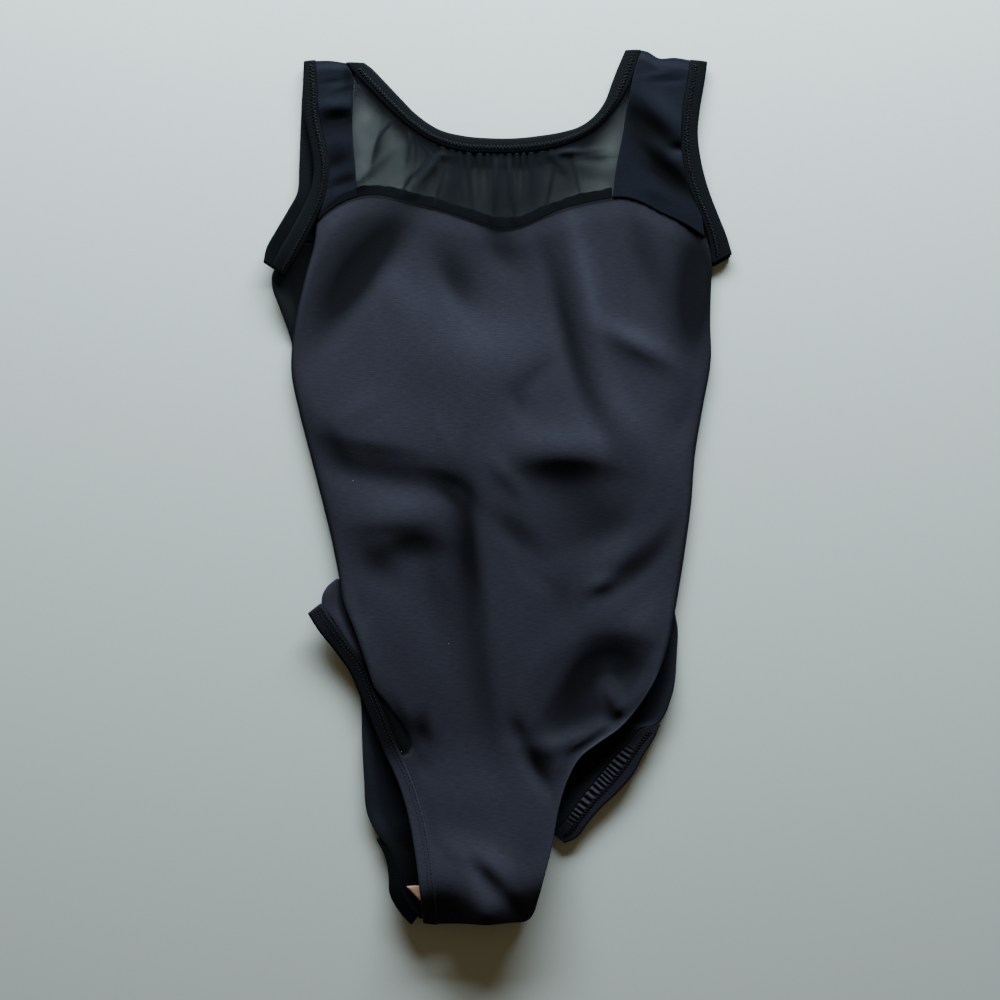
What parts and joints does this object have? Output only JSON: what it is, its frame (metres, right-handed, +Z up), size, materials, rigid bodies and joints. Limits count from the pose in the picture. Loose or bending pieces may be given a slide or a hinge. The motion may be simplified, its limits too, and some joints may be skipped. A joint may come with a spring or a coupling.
{
  "type": "leotard",
  "caption": "Sleeveless dance leotard laid flat, front up: matt knit body with a sweetheart seam, sheer net yoke, scoop neck and high-cut legs.",
  "frame": {"origin": "on the floor, under the middle of the garment's outline", "axes": "+Z up off the floor, +Y from crotch to shoulders, +X to the right as seen from above the front"},
  "size_m": [0.3534, 0.6613, 0.0195],
  "materials": {
    "body_knit": "matt",
    "net": "sheer",
    "binding": "matt",
    "gusset": "matt"
  },
  "bodies": {
    "root": {"front_body": "body_knit", "front_yoke": "net", "front_shoulder_left": "body_knit", "front_shoulder_right": "body_knit", "yoke_seam_allowance": "body_knit", "front_hip_fold": "body_knit", "back_body": "body_knit", "back_shoulder_left": "body_knit", "back_shoulder_right": "body_knit", "back_yoke": "net", "gusset_lining": "gusset", "neck_binding_front": "binding", "neck_binding_back": "binding", "armhole_binding_right_front": "binding", "armhole_binding_right_back": "binding", "armhole_binding_left_front": "binding", "armhole_binding_left_back": "binding", "leg_hem_left_front": "body_knit", "leg_hem_left_back": "body_knit", "leg_hem_right_back": "binding"}
  },
  "joints": []
}
